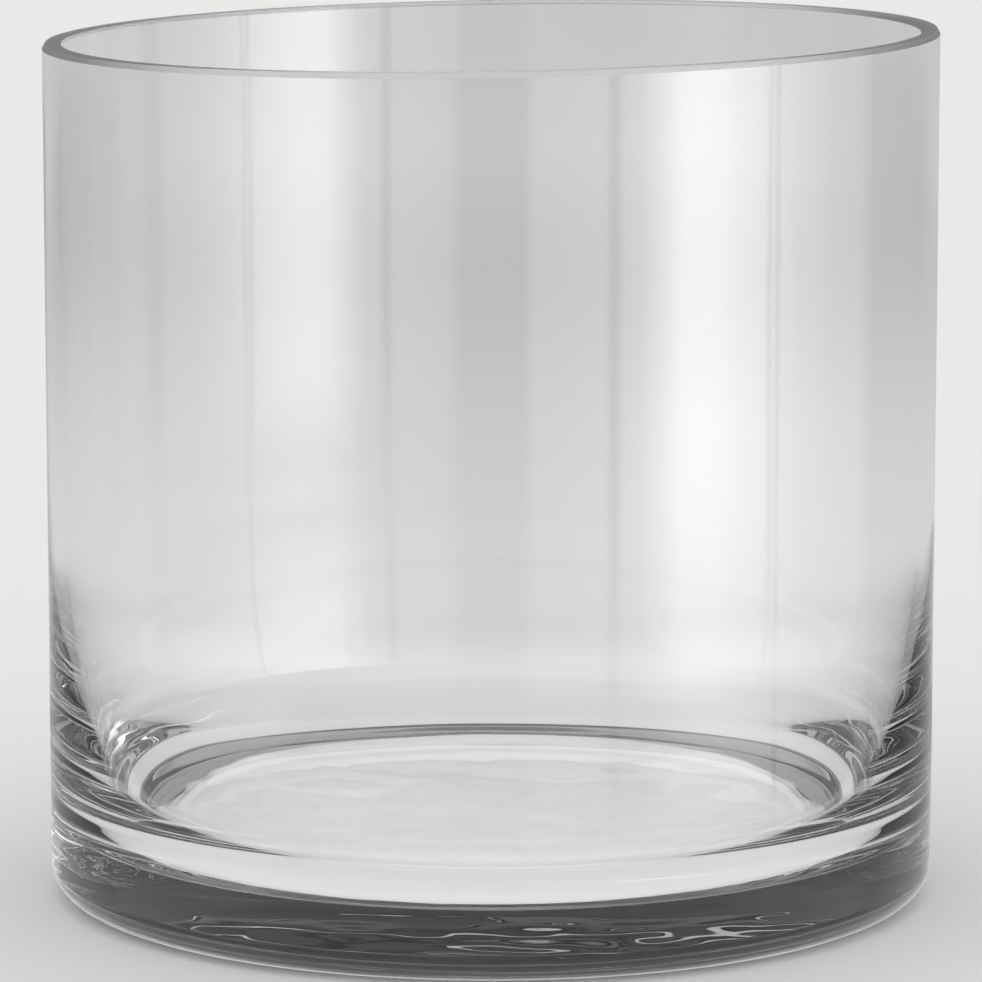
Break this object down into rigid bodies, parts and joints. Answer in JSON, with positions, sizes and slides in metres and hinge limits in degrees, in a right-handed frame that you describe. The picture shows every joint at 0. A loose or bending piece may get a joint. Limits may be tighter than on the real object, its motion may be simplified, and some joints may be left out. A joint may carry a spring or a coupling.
{
  "type": "glass cylinder vase",
  "caption": "Clear glass cylinder vase: straight round wall, thick base with a wide inside corner, and a cut rim with ground edges.",
  "frame": {"origin": "centre of the flat foot, on the surface that the vase stands on", "axes": "+Z is the vase's axis, up and out of the mouth; +X points to the side where the slightly slanted rim is highest"},
  "size_m": [0.2, 0.2, 0.1953],
  "materials": {
    "clear_glass": "clear, fire-polished, ground edges at the rim"
  },
  "bodies": {
    "root": {"vase": "clear_glass"}
  },
  "joints": []
}
